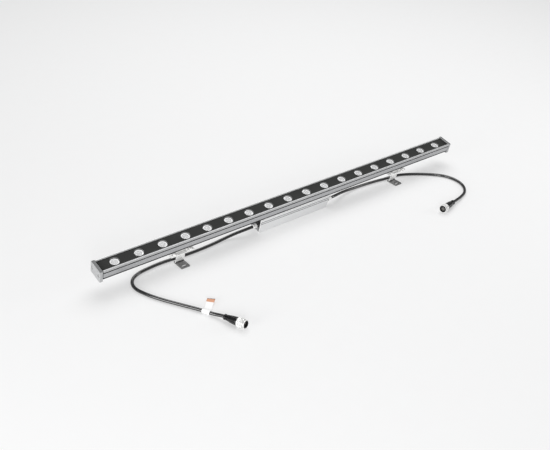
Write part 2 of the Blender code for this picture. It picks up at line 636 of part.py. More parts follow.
def make_ring(name, frame, stretch, end, nose):
    """Metal ring round the moulding's neck and the insert: coupling nut or threaded ferrule."""
    start = MOULDING_LENGTH + stretch
    bore = nose - RING_WALL
    profile = [
        (bore, end), (nose - 0.5, end), (nose, end - 0.6), (nose, end - 5.0), (NUT_RADIUS, end - 5.8),
        (NUT_RADIUS, start + 0.8), (9.3, start), (6.1, start), (6.1, start + 5.6), (bore, start + 5.6),
    ]
    turned(name, profile, 20, STEEL, frame, closed=True)


def make_tag():
    """Paper label: a wrap round the left lead, and a flag that stands back from it."""
    inner, outer = LEAD_DIAMETER / 2 + 0.55, LEAD_DIAMETER / 2 + 0.95
    half = TAG_HALF_WIDTH
    wrap_profile = [(outer, half), (outer, -half), (inner, -half), (inner, half)]
    wrap = turned("label_tag", wrap_profile, 16, PAPER, None, closed=True)
    wrap.location = TAG_POINT * MM
    wrap.rotation_euler = TAG_ALONG.to_track_quat("Z", "Y").to_euler()
    away = TAG_ALONG.cross(Vector((0.0, 0.0, -1.0))).normalized() * (inner + 0.1)
    near = [TAG_POINT + away + TAG_ALONG * side for side in (-half, half)]
    corners = near + [near[1] + TAG_EDGES[1], near[0] + TAG_EDGES[0]]
    flag = plate_mesh("flag", corners, 0.5)
    boolean(wrap, add_object("flag_tool", flag, None, None, cutter=True), "UNION")


def plate_mesh(name, corners, thickness):
    """A level plate through the corners' X and Y, at the height of the first one."""
    mesh = section_mesh(name, [[(x, y) for x, y, z in corners]], -thickness / 2, thickness / 2)
    lay_flat = Matrix(((0, 1, 0, 0), (0, 0, 1, 0), (1, 0, 0, corners[0].z * MM), (0, 0, 0, 1)))
    mesh.transform(lay_flat)
    return mesh


def make_leads():
    left_end, right_end = make_gland("left", -1, DRIVER_LEFT), make_gland("right", 1, DRIVER_RIGHT)
    gland_y, gland_z = bar_to_floor(GLAND_Y, GLAND_Z)
    plug, plug_start, plug_along = connector_frame("plug_frame", LEFT_PLUG, LEFT_PLUG_NOSE)
    socket, socket_start, socket_along = connector_frame("socket_frame", RIGHT_SOCKET, RIGHT_SOCKET_NOSE)
    for name, end, sign, route, start, along in (
            ("lead_left", left_end, -1, LEFT_ROUTE, plug_start, plug_along),
            ("lead_right", right_end, 1, RIGHT_ROUTE, socket_start, socket_along)):
        first = Vector((end, gland_y, gland_z))
        square = Vector((sign * LEAD_STUB, 0.0, 0.0))
        middle = [Vector((x, y + AXIS_Y, z)) for x, y, z in route]
        last = start - GAP * along
        path = smooth_route([first + square] + middle + [last - LEAD_STUB * along], LEAD_STEP)
        make_lead(name, [first] + path + [last])
    for kind, frame, stretch, length in (
            ("plug", plug, 0.0, PLUG_LENGTH), ("socket", socket, SOCKET_STRETCH, SOCKET_LENGTH)):
        make_moulding(f"{kind}_moulding", frame, stretch)
        nose = NOSE_RADIUS[kind]
        make_insert(f"{kind}_insert", frame, stretch, length, nose - RING_WALL - 2 * GAP)
        make_ring("plug_nut" if kind == "plug" else "socket_ferrule", frame, stretch, length - 1.0, nose)
    make_tag()


def main():
    make_housing()
    for side, sign in (("left", -1), ("right", 1)):
        make_end(side, sign)
    make_mask()
    make_lenses()
    make_board()
    make_cover()
    make_driver()
    for side, centre in (("left", BRACKET_LEFT), ("right", BRACKET_RIGHT)):
        frame = make_clamp(side, centre)
        make_jaw(side, frame)
        make_bracket_fasteners(side, frame)
        make_foot(side, centre)
    make_leads()
    bpy.context.view_layer.update()


main()
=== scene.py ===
"""Looks of the LED batten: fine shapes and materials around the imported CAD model.

Shapes are drawn in millimetres.  The bar's own frame has X along the bar, Y
across it and Z out of the lens face, with Z = 0 on the rims; BAR places that
frame in the row's.  Feet, leads and connectors are drawn in the row's frame.
"""
from math import cos, pi, radians, sin, tan

import bmesh
import bpy
from mathutils import Matrix, Vector


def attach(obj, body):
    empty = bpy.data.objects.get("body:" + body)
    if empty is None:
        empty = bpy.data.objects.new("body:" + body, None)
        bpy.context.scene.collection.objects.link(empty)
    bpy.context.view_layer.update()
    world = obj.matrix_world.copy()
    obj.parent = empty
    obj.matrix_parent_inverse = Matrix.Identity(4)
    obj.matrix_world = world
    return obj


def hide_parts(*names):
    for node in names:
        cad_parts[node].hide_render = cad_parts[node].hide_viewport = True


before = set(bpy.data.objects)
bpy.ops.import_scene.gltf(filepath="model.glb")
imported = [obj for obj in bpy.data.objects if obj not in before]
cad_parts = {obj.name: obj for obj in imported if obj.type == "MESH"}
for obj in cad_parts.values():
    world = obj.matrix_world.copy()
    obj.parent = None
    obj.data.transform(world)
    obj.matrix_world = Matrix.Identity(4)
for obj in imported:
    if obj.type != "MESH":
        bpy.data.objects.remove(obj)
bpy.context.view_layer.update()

MM = 0.001
GAP = 0.3
ROOT = "bar"

# ---- the design's dimensions, as the CAD has them --------------------------
TILT = radians(12.0)
RIM_HEIGHT = 62.2
AXIS_Y = -2.2
BAR = Matrix.Translation((0.0, AXIS_Y * MM, RIM_HEIGHT * MM)) @ Matrix.Rotation(TILT, 4, "X")

BODY_HALF = 18.2
WALL_DEPTH = 22.0
RAIL_NECK, RAIL_HALF = 10.5, 12.5
RAIL_FLANGE_TOP, RAIL_DEPTH = 24.5, 27.0
MOUTH_HALF = 15.1
GROOVE_TOP, GROOVE_BOTTOM, GROOVE_FLOOR = -4.8, -7.4, 16.4
LOWER_EDGE, STEP_DEPTH = -18.2, 0.6
BAR_HALF_LENGTH = 500.0
CAP_THICK = 6.5
CAP_HALF, CAP_TOP, CAP_DEPTH = 18.8, 0.5, 27.6
END_SCREW_Y, END_SCREW_Z = 13.0, -13.4
HOUSING_HALF_LENGTH = BAR_HALF_LENGTH - CAP_THICK - 2 * GAP - 0.7

LENS_COUNT, LENS_PITCH = 18, 54.0
LENS_RADIUS, LENS_TOP, LENS_CORE_RADIUS = 10.0, -4.6, 6.9
MASK_TOP, MASK_THICK, MASK_HALF = -3.0, 2.0, 14.8
LEDGE_TOP, LEDGE_BOTTOM = MASK_TOP - MASK_THICK - GAP, -8.4

COVER_LEFT, COVER_RIGHT = -111.0, 87.0
COVER_BOTTOM, COVER_WALL = -60.0, 2.0
CREASES, CREASE_HALF, CREASE_DEPTH = (-30.2, -35.0), 1.2, 0.8
DRIVER_LEFT, DRIVER_RIGHT = -99.0, 87.0
DRIVER_HALF, DRIVER_TOP, DRIVER_BOTTOM = 15.6, -29.5, -57.6
END_PLATE_THICK = 3.0
GLAND_Y, GLAND_Z = -4.5, -47.5
GLAND_BODY_LENGTH, GLAND_NUT_LENGTH, GLAND_NUT_RADIUS = 12.0, 10.0, 5.3

BRACKETS = (("left", -314.0), ("right", 310.0))
PLATE_HALF_X, PLATE_TOP, PLATE_THICK, PLATE_FRONT = 28.0, -27.3, 2.0, -22.5
SCREW_X, SCREW_Y = 19.5, -19.2
PIVOT_Y, PIVOT_Z = -12.6, -33.2
KNUCKLE_RADIUS, PIN_RADIUS, PIN_BORE = 2.6, 1.3, 1.65
LUG_INNER_X, LUG_OUTER_X = 10.9, 15.4
JAW_EAR_THICK = 1.6
FOOT_HALF_X, FOOT_FRONT, FOOT_BACK = 10.4, -25.4, 6.2
FOOT_THICK, LEG_THICK, LEG_FOOT_Y, FOOT_SLOT_Y = 2.4, 2.0, 1.2, -17.4
SLOT_REACH, SLOT_RADIUS = 3.3, 2.7

LEAD_DIAMETER, LEAD_STUB = 7.0, 5.0
LEAD_STEP = 4.0
MOULDING_LENGTH, AXIS_HEIGHT = 31.0, 10.1
CONNECTOR_LENGTH = {"plug": 48.8, "socket": 51.0}
NOSE_RADIUS = {"plug": 8.8, "socket": 9.3}
SOCKET_STRETCH, NUT_RADIUS, RING_WALL = 6.0, 9.9, 1.1
CONNECTOR_RISE = radians(3.0)
CONTACT_COUNT, CONTACT_CIRCLE = 5, 2.7

LEFT_ROUTE = [
    (-138.0, 7.0, 13.4), (-163.0, 11.4, 9.6), (-188.0, 14.0, 5.6), (-218.0, 12.8, 3.7),
    (-250.0, 10.8, 3.6), (-284.0, 10.7, 3.6), (-318.0, 12.8, 3.6), (-350.0, 14.6, 3.6),
    (-378.0, 13.0, 3.6), (-404.0, 9.0, 3.6), (-423.0, -1.0, 3.6), (-433.5, -17.0, 3.6),
    (-435.5, -36.0, 3.6), (-429.0, -58.0, 3.6), (-419.5, -79.5, 3.6), (-408.5, -100.0, 3.6),
    (-397.0, -119.0, 3.6), (-386.5, -136.5, 3.8), (-377.0, -152.6, 4.2), (-369.3, -166.6, 4.6),
    (-362.8, -179.6, 4.8), (-356.2, -193.0, 5.8),
]
LEFT_PLUG = (-348.2, -211.4), (-330.3, -259.3)
RIGHT_ROUTE = [
    (127.0, 8.0, 13.6), (150.0, 14.5, 10.2), (176.0, 19.5, 6.6), (205.0, 21.6, 4.1),
    (236.0, 20.6, 3.6), (268.0, 17.6, 3.6), (298.0, 13.4, 3.6), (326.0, 10.9, 3.6),
    (348.0, 5.5, 3.6), (366.0, -3.5, 3.6), (384.0, -14.5, 3.6), (404.0, -29.0, 3.6),
    (421.5, -44.5, 3.6), (435.5, -62.0, 3.6), (443.0, -84.0, 3.6), (442.0, -107.5, 3.6),
    (432.0, -130.0, 3.6), (412.5, -148.5, 3.8), (387.0, -159.3, 4.8), (363.5, -166.0, 6.8),
]
RIGHT_SOCKET = (343.4, -170.7), (293.2, -181.3)
TAG_SPAN = [Vector(point) for point in LEFT_ROUTE[-3:-1]]
TAG_ALONG = (TAG_SPAN[1] - TAG_SPAN[0]).normalized()
TAG_POINT = (TAG_SPAN[0] + TAG_SPAN[1]) / 2 + Vector((0.0, AXIS_Y, 0.0)) + 2.3 * TAG_ALONG
TAG_HALF_WIDTH = 8.4
TAG_EDGES = Vector((26.6, 25.4, 0.0)), Vector((30.6, 29.8, 0.0))


def bar_to_floor(y, z):
    """Row-frame Y and Z, in millimetres, of a point of the bar's section."""
    return (AXIS_Y + y * cos(TILT) - z * sin(TILT), RIM_HEIGHT + y * sin(TILT) + z * cos(TILT))


# ---- materials ---------------------------------------------------------------
def link_noise(tree, scale, stretch, detail):
    """A noise texture in the object's own metres, stretched along its axes."""
    coordinates = tree.nodes.new("ShaderNodeTexCoord")
    mapping = tree.nodes.new("ShaderNodeMapping")
    mapping.inputs["Scale"].default_value = stretch
    noise = tree.nodes.new("ShaderNodeTexNoise")
    noise.inputs["Scale"].default_value = scale
    noise.inputs["Detail"].default_value = detail
    tree.links.new(coordinates.outputs["Object"], mapping.inputs["Vector"])
    tree.links.new(mapping.outputs["Vector"], noise.inputs["Vector"])
    return noise.outputs["Fac"]


def map_range(tree, source, low, high):
    """The middle of a noise's range, spread from low to high."""
    node = tree.nodes.new("ShaderNodeMapRange")
    node.inputs["From Min"].default_value = 0.3
    node.inputs["From Max"].default_value = 0.7
    node.inputs["To Min"].default_value = low
    node.inputs["To Max"].default_value = high
    tree.links.new(source, node.inputs["Value"])
    return node.outputs["Result"]


def surface(name, color, roughness, metallic=0.0, spread=0.06, scale=900.0, stretch=(1, 1, 1),
            blotch=25.0, bump=0.15, depth=0.05, **sockets):
    """Principled material with fine grain, broad tone variation, and grain in its relief."""
    material = bpy.data.materials.new(name)
    material.use_nodes = True
    tree = material.node_tree
    shader = tree.nodes["Principled BSDF"]
    shader.inputs["Metallic"].default_value = metallic
    for socket, value in sockets.items():
        shader.inputs[socket.replace("_", " ")].default_value = value
    grain = link_noise(tree, scale, stretch, 4.0)
    broad = link_noise(tree, blotch, stretch, 3.0)
    tone = tree.nodes.new("ShaderNodeMath")
    tone.operation = "MULTIPLY"
    tree.links.new(map_range(tree, grain, 1.0 - spread, 1.0 + spread), tone.inputs[0])
    tree.links.new(map_range(tree, broad, 1.0 - spread / 2, 1.0 + spread / 2), tone.inputs[1])
    tint = tree.nodes.new("ShaderNodeVectorMath")
    tint.operation = "SCALE"
    tint.inputs[0].default_value = color
    tree.links.new(tone.outputs["Value"], tint.inputs["Scale"])
    tree.links.new(tint.outputs["Vector"], shader.inputs["Base Color"])
    tree.links.new(map_range(tree, grain, roughness * 0.88, roughness * 1.12), shader.inputs["Roughness"])
    relief = tree.nodes.new("ShaderNodeBump")
    relief.inputs["Strength"].default_value = bump
    relief.inputs["Distance"].default_value = depth * MM
    tree.links.new(grain, relief.inputs["Height"])
    tree.links.new(relief.outputs["Normal"], shader.inputs["Normal"])
    return material


BRUSHED_ALONG = (0.02, 1.0, 1.0)
ALUMINIUM = surface("anodised_aluminium", (0.44, 0.445, 0.455), 0.42, 0.5, 0.05, 2600.0, BRUSHED_ALONG)
RIM_GREY = surface("aluminium_front_rim", (0.45, 0.455, 0.46), 0.42, 0.30, 0.05, 2600.0, BRUSHED_ALONG)
# Painted light: a paler copy of the aluminium for the rear rim. On the end caps it is a painted highlight on
# the lip beside the housing.
RIM_LIT_PALE = surface("aluminium_rim_painted_light", (0.74, 0.745, 0.75), 0.42, 0.10, 0.03, 2600.0, BRUSHED_ALONG)
# Painted shade: near-black for the housing's grooves and its recessed lower step, where shade falls.
SHADOW_GREY = surface("aluminium_painted_groove_shade", (0.012, 0.012, 0.013), 0.8, 0.0, 0.08, 2600.0, BRUSHED_ALONG,
                      Specular_IOR_Level=0.2)
# Painted shade: darker grey on one flank of each pressed crease of the cover.
CREASE_SHADE = surface("cover_crease_painted_shade", (0.25, 0.255, 0.26), 0.5, 0.15, 0.04, 1800.0, BRUSHED_ALONG)
# Painted light and shade on the end caps: one grey in two copies, the top painted darker, the end face and
# sides painted lighter.
CAP_TOP_SHADED = surface("cap_top_painted_shade", (0.14, 0.142, 0.145), 0.5, 0.2, 0.05, 700.0)
CAP_FACE_LIT = surface("cap_face_painted_light", (0.43, 0.435, 0.44), 0.5, 0.1, 0.04, 700.0)
MASK_BLACK = surface("mask_black", (0.018, 0.019, 0.018), 0.75, 0.0, 0.35, 260.0, bump=0.3, depth=0.12,
                     Specular_IOR_Level=0.3)
COVER_GREY = surface("cover_grey", (0.74, 0.745, 0.75), 0.46, 0.1, 0.03, 1800.0, BRUSHED_ALONG)
# Painted highlight: near-white on the cover's top edges and its left end edge.
COVER_EDGE_HIGHLIGHT = surface("cover_edge_painted_highlight", (0.92, 0.92, 0.92), 0.40, 0.1, 0.02, 1800.0, BRUSHED_ALONG)
# Stainless steel for the screws and pins. On the connector rings it is also painted shade in the thread and
# knurl valleys.
STEEL_AND_GROOVE_SHADE = surface("stainless_steel", (0.62, 0.62, 0.61), 0.30, 0.5, 0.06, 1600.0, (1.0, 0.1, 1.0))
CLAMP_STEEL = surface("clamp_steel", (0.97, 0.97, 0.96), 0.30, 0.25, 0.03, 1600.0, (0.1, 1.0, 1.0))
LEG_STEEL = surface("leg_steel", (0.92, 0.92, 0.91), 0.26, 0.35, 0.05, 1400.0, (0.1, 1.0, 1.0))
# Darker raw steel and painted shade: the foot's base and the leg's lowest part, for the shade under the bar
# and at the bend. The leg above is the pale steel.
FOOT_STEEL_SHADED = surface("foot_steel_and_painted_shade", (0.22, 0.22, 0.22), 0.36, 0.7, 0.12, 1400.0, (0.1, 1.0, 1.0))
NICKEL = surface("nickel_plate", (0.97, 0.97, 0.96), 0.24, 0.2, 0.03, 1200.0)
LEAD_BLACK = surface("lead_jacket", (0.004, 0.004, 0.0045), 0.17, 0.0, 0.15, 1100.0, bump=0.08,
                     Specular_IOR_Level=0.75, IOR=1.6)
MOULDED_BLACK = surface("moulded_rubber", (0.003, 0.003, 0.0035), 0.18, 0.0, 0.15, 1500.0, bump=0.15,
                        Specular_IOR_Level=0.55, IOR=1.5)
CARRIER_BLACK = surface("carrier_plastic", (0.008, 0.008, 0.009), 0.35, 0.0, 0.12, 1500.0)
CARRIER_GREY = surface("carrier_grey", (0.12, 0.12, 0.12), 0.45, 0.0, 0.12, 1500.0)
CONTACT_GOLD = surface("contact_gold", (0.74, 0.64, 0.44), 0.25, 1.0, 0.04, 1500.0)
RUBBER = surface("seal_rubber", (0.05, 0.05, 0.05), 0.8, 0.0, 0.12, 1200.0)
POTTING = surface("driver_potting", (0.05, 0.05, 0.055), 0.6, 0.0, 0.2, 300.0)
# Painted shade: the gland bodies are near-black for the shade inside the cover's open ends.
GLAND_BODY_SHADE = surface("gland_body_painted_shade", (0.05, 0.05, 0.05), 0.5, 0.1, 0.08, 1500.0)
END_GREY = surface("driver_end_plastic", (0.03, 0.03, 0.031), 0.5, 0.0, 0.12, 1500.0)
BOARD_WHITE = surface("board_white", (0.78, 0.78, 0.74), 0.4, 0.0, 0.04, 900.0)
PAPER = surface("label_paper", (0.97, 0.97, 0.97), 0.75, 0.0, 0.01, 1500.0)
PRINT = surface("label_print", (0.72, 0.36, 0.22), 0.75, 0.0, 0.12, 500.0)
PRINT_DARK = surface("label_print_edge", (0.20, 0.13, 0.12), 0.75, 0.0, 0.12, 500.0)
# Painted light: the lens holes' walls in the black strip are painted mid grey, lighter than its face.
HOLE_WALL_LIT = surface("mask_hole_wall_painted_light", (0.34, 0.34, 0.34), 0.4, 0.0, 0.10, 500.0)
LENS_RING = surface("lens_ring", (0.97, 0.975, 0.98), 0.12, 0.0, 0.004, 500.0, bump=0.05, depth=0.02,
                    Transmission_Weight=0.10, IOR=1.49)
# Painted shade: the lens centre is painted greyer and less clear than its ring, for the darker look through
# its middle.
LENS_CORE_SHADE = surface("lens_core_painted_shade", (0.70, 0.705, 0.71), 0.14, 0.0, 0.10, 420.0, bump=0.5, depth=0.25,
                    Transmission_Weight=0.30, IOR=1.49)
LENS_HOLDER = surface("lens_holder", (0.80, 0.80, 0.79), 0.35, 0.2, 0.03, 700.0)
FLOOR_PALE = surface("floor_pale", (0.45, 0.451, 0.453), 0.7, 0.0, 0.008, 40.0, bump=0.0,
                     Emission_Color=(1.0, 1.0, 1.0, 1.0), Emission_Strength=0.43)

NODE_MATERIALS = {
    "led_board": BOARD_WHITE, "driver_block": POTTING,
    "end_gasket_left": RUBBER, "end_gasket_right": RUBBER,
}


# ---- mesh helpers --------------------------------------------------------------
def rounded(points, radius, steps=3, closed=True):
    """The outline with its corners rounded; a point's third value is its own radius."""
    result = []
    count = len(points)
    for index, point in enumerate(points):
        corner = Vector(point[:2])
        if not closed and index in (0, count - 1):
            result.append(tuple(corner))
            continue
        before = Vector(points[index - 1][:2]) - corner
        after = Vector(points[(index + 1) % count][:2]) - corner
        half_angle = before.angle(after) / 2
        own = point[2] if len(point) > 2 else radius
        cut = min(own / tan(half_angle), 0.45 * min(before.length, after.length)) if own else 0.0
        if cut < 0.01:
            result.append(tuple(corner))
            continue
        start, end = corner + before.normalized() * cut, corner + after.normalized() * cut
        for step in range(steps + 1):
            t = step / steps
            result.append(tuple((1 - t) ** 2 * start + 2 * t * (1 - t) * corner + t * t * end))
    return result


def section(outline, start, end):
    """A closed Y-Z outline extruded along X."""
    bm = bmesh.new()
    rings = [[bm.verts.new((x, y, z)) for y, z in outline] for x in (start, end)]
    for index in range(len(outline)):
        following = (index + 1) % len(outline)
        bm.faces.new((rings[0][index], rings[0][following], rings[1][following], rings[1][index]))
    bm.faces.new(rings[0][::-1])
    bm.faces.new(rings[1])
    return bm


def lathe(profile, sides, closed=False):
    """A turned shape about Z; rows are (radius, z), or (radius, z, ripple depth, ripples)."""
    bm = bmesh.new()
    rings = []
    for row in profile:
        radius, z = row[:2]
        depth, teeth = row[2:] if len(row) > 2 else (0.0, 0)
        if radius < 0.001:
            rings.append([bm.verts.new((0.0, 0.0, z))])
            continue
        ring = []
        for side in range(sides):
            angle = 2 * pi * side / sides
            reach = radius - depth * (0.5 - 0.5 * cos(teeth * angle))
            ring.append(bm.verts.new((reach * cos(angle), reach * sin(angle), z)))
        rings.append(ring)
    pairs = list(zip(rings, rings[1:])) + ([(rings[-1], rings[0])] if closed else [])
    for upper, lower in pairs:
        for side in range(sides):
            following = (side + 1) % sides
            if len(upper) == 1:
                bm.faces.new((upper[0], lower[side], lower[following]))
            elif len(lower) == 1:
                bm.faces.new((upper[side], lower[0], upper[following]))
            else:
                bm.faces.new((upper[side], lower[side], lower[following], upper[following]))
    return bm


def block(low, high):
    bm = bmesh.new()
    low, high = Vector(low), Vector(high)
    place = Matrix.Translation((low + high) / 2) @ Matrix.Diagonal((*(high - low), 1.0))
    bmesh.ops.create_cube(bm, size=1.0, matrix=place)
    return bm


def rod(centre, radius, length, axis="Z", sides=40):
    turn = {"X": Matrix.Rotation(pi / 2, 4, "Y"), "Y": Matrix.Rotation(pi / 2, 4, "X"), "Z": Matrix()}[axis]
    bm = bmesh.new()
    bmesh.ops.create_cone(bm, cap_ends=True, segments=sides, radius1=radius, radius2=radius, depth=length,
                          matrix=Matrix.Translation(centre) @ turn)
    return bm


def to_mesh(bm, name="shape"):
    """The bmesh as a mesh in metres, facing outwards."""
    bmesh.ops.recalc_face_normals(bm, faces=bm.faces)
    mesh = bpy.data.meshes.new(name)
    bm.to_mesh(mesh)
    bm.free()
    mesh.transform(Matrix.Scale(MM, 4))
    return mesh


def carved(base, joins=(), cuts=(), bevel=0.0, segments=2, angle=32.0):
    """Base joined with some solids, cut by others, its edges rounded; a mesh in metres."""
    work = bpy.data.objects.new("work", to_mesh(base))
    bpy.context.scene.collection.objects.link(work)
    tools = []
    for operation, shapes in (("UNION", joins), ("DIFFERENCE", cuts)):
        for shape in shapes:
            tool = bpy.data.objects.new("tool", to_mesh(shape))
            bpy.context.scene.collection.objects.link(tool)
            tools.append(tool)
            modifier = work.modifiers.new(operation, "BOOLEAN")
            modifier.operation, modifier.solver, modifier.object = operation, "EXACT", tool
    if bevel:
        modifier = work.modifiers.new("Bevel", "BEVEL")
        modifier.width, modifier.segments = bevel * MM, segments
        modifier.limit_method, modifier.angle_limit = "ANGLE", radians(angle)
        modifier.miter_outer = "MITER_ARC"
    bpy.context.view_layer.update()
    mesh = bpy.data.meshes.new_from_object(work.evaluated_get(bpy.context.evaluated_depsgraph_get()))
    for obj in tools + [work]:
        bpy.data.objects.remove(obj, do_unlink=True)
    return mesh


def paint(mesh, materials, choose):
    """Gives the mesh its materials, each face the one that choose names for its centre in millimetres."""
    for material in materials:
        mesh.materials.append(material)
    for face in mesh.polygons:
        face.material_index = int(choose(*(face.center / MM)))


def piece(name, mesh, material, body, place=None, nodes=(), angle=35.0):
    """Puts a mesh in the scene as a named piece that rides on a body and replaces CAD nodes."""
    if isinstance(mesh, bmesh.types.BMesh):
        mesh = to_mesh(mesh, name)
    obj = bpy.data.objects.new(name, mesh)
    bpy.context.scene.collection.objects.link(obj)
    if not mesh.materials:
        mesh.materials.append(material)
    mesh.shade_smooth()
    mesh.set_sharp_from_angle(angle=radians(angle))
    obj.matrix_world = place if place is not None else Matrix()
    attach(obj, body)
    if nodes:
        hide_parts(*nodes)
    return obj


def at(x, y, z):
    return Matrix.Translation(Vector((x, y, z)) * MM)


# ---- the bar ---------------------------------------------------------------------
def make_housing():
    """The extrusion: two rims, a groove below each, a stepped lower edge and the T rail; the rear rim is
    painted paler than the front one, as painted light.
    """
    outer = [
        (MOUTH_HALF, 0.0, 0.3), (BODY_HALF, 0.0, 0.9), (BODY_HALF, GROOVE_TOP, 0.3),
        (GROOVE_FLOOR, GROOVE_TOP - 0.5, 0.3), (GROOVE_FLOOR, GROOVE_BOTTOM + 0.5, 0.3),
        (BODY_HALF, GROOVE_BOTTOM, 0.3), (BODY_HALF, LOWER_EDGE, 0.1),
        (BODY_HALF - STEP_DEPTH, LOWER_EDGE - 0.1, 0.1), (BODY_HALF - STEP_DEPTH, -WALL_DEPTH, 0.3),
        (RAIL_NECK, -WALL_DEPTH), (RAIL_NECK, -RAIL_FLANGE_TOP), (RAIL_HALF, -RAIL_FLANGE_TOP),
        (RAIL_HALF, -RAIL_DEPTH),
    ]
    inner = [
        (8.0, -24.6), (8.0, -18.8), (16.0, -18.8), (16.0, LEDGE_BOTTOM), (13.4, LEDGE_BOTTOM),
        (13.4, LEDGE_TOP), (MOUTH_HALF, LEDGE_TOP),
    ]
    mirrored = [(-point[0], *point[1:]) for point in reversed(outer)]
    outline = outer + mirrored + [(-y, z) for y, z in reversed(inner)] + inner
    mesh = to_mesh(section(rounded(outline, 0.35), -HOUSING_HALF_LENGTH, HOUSING_HALF_LENGTH))
    groove_edge = BODY_HALF - 0.2
    # Painted shade: the groove faces and the recessed lower step get the near-black groove material.
    paint(mesh, [ALUMINIUM, SHADOW_GREY, RIM_LIT_PALE, RIM_GREY], lambda x, y, z: (
        0 if abs(x) > HOUSING_HALF_LENGTH - 1 else
        1 if 16.0 < abs(y) < groove_edge and (GROOVE_BOTTOM < z < GROOVE_TOP or -WALL_DEPTH < z < LOWER_EDGE)
        else (2 if y > 0 else 3) if abs(y) > MOUTH_HALF - 0.5 and z > GROOVE_TOP else 0))
    piece("housing_extrusion_fine", mesh, ALUMINIUM, ROOT, BAR, ["housing_extrusion"])


def cap_outline(inset, steps=6):
    """The cap's round-cornered outline, drawn in by inset."""
    half, top, bottom = CAP_HALF - inset, CAP_TOP - inset, -CAP_DEPTH + inset
    corners = [(half, bottom), (half, top), (-half, top), (-half, bottom)]
    return rounded(corners, max(0.4, 2.6 - inset), steps)


def make_cap(side, sign):
    """End cap: round-edged plate with two sunk screw seats and a shallow raised border."""
    stations = [(0.0, 0.25), (0.25, 0.0), (5.2, 0.0), (6.0, 0.25), (6.4, 0.8), (6.5, 1.4), (6.5, 2.6),
                (6.2, 3.0), (6.2, 3.4)]
    bm = bmesh.new()
    rings = [[bm.verts.new((x, y, z)) for y, z in cap_outline(inset)] for x, inset in stations]
    for near, far in zip(rings, rings[1:]):
        for index in range(len(near)):
            following = (index + 1) % len(near)
            bm.faces.new((near[index], near[following], far[following], far[index]))
    bm.faces.new(rings[0][::-1])
    bm.faces.new(rings[-1])
    cuts = []
    for y in (-END_SCREW_Y, END_SCREW_Y):
        cuts += [rod((3.0, y, END_SCREW_Z), 1.9, 12.0, "X"), rod((5.6, y, END_SCREW_Z), 3.35, 4.0, "X")]
    mesh = carved(bm, cuts=cuts)
    # Painted shade on the cap's top, painted light on its end face and sides, painted highlight on the lip
    # beside the housing.
    paint(mesh, [CAP_TOP_SHADED, CAP_FACE_LIT, RIM_LIT_PALE], lambda x, y, z: (
        1 if x > 5.9 or z < CAP_TOP - 0.8 else 2 if x < 1.2 else 0))
    turn = Matrix() if sign > 0 else Matrix.Rotation(pi, 4, "Z")
    place = BAR @ at(sign * (BAR_HALF_LENGTH - CAP_THICK), 0, 0) @ turn
    piece(f"end_cap_{side}_fine", mesh, CAP_TOP_SHADED, ROOT, place, [f"end_cap_{side}"])


def screw_mesh(head_radius, head_height, shank_radius, shank_length):
    """Pan-head screw with a cross recess, standing on Z = 0."""
    head = rounded([(0.0, head_height), (head_radius * 0.72, head_height), (head_radius, head_height * 0.45),
                    (head_radius, 0.0), (shank_radius, 0.0)], 0.5, 3, closed=False)
    threads = []
    turns = int(shank_length / 0.8)
    for turn in range(turns):
        z = -0.4 - 0.8 * turn
        threads += [(shank_radius, z), (shank_radius - 0.3, z - 0.4)]
    shape = lathe(head + threads + [(shank_radius * 0.5, -shank_length), (0.0, -shank_length)], 24)
    wide, narrow, deep = head_radius * 0.62, 0.42, head_height * 0.55
    cuts = [block((-wide, -narrow, head_height - deep), (wide, narrow, head_height + 1.0)),
            block((-narrow, -wide, head_height - deep), (narrow, wide, head_height + 1.0))]
    return carved(shape, cuts=cuts)


def make_mask():
    """Black strip with a round opening for each lens, its walls painted grey, lighter than its face, as
    painted light that shows a grey crescent at each lens.
    """
    half = HOUSING_HALF_LENGTH - 1.0
    strip = block((-half, -MASK_HALF, MASK_TOP - MASK_THICK), (half, MASK_HALF, MASK_TOP))
    holes = [rod((x, 0.0, MASK_TOP), LENS_RADIUS + 0.3, 10.0, sides=56) for x in lens_positions()]
    mesh = carved(strip, cuts=holes, bevel=0.3)
    paint(mesh, [MASK_BLACK, HOLE_WALL_LIT], lambda x, y, z: z < MASK_TOP - 0.35 and abs(y) < MASK_HALF - 1)
    piece("lens_mask_fine", mesh, MASK_BLACK, ROOT, BAR, ["lens_mask"])


def lens_positions():
    return [(number - (LENS_COUNT - 1) / 2) * LENS_PITCH for number in range(LENS_COUNT)]


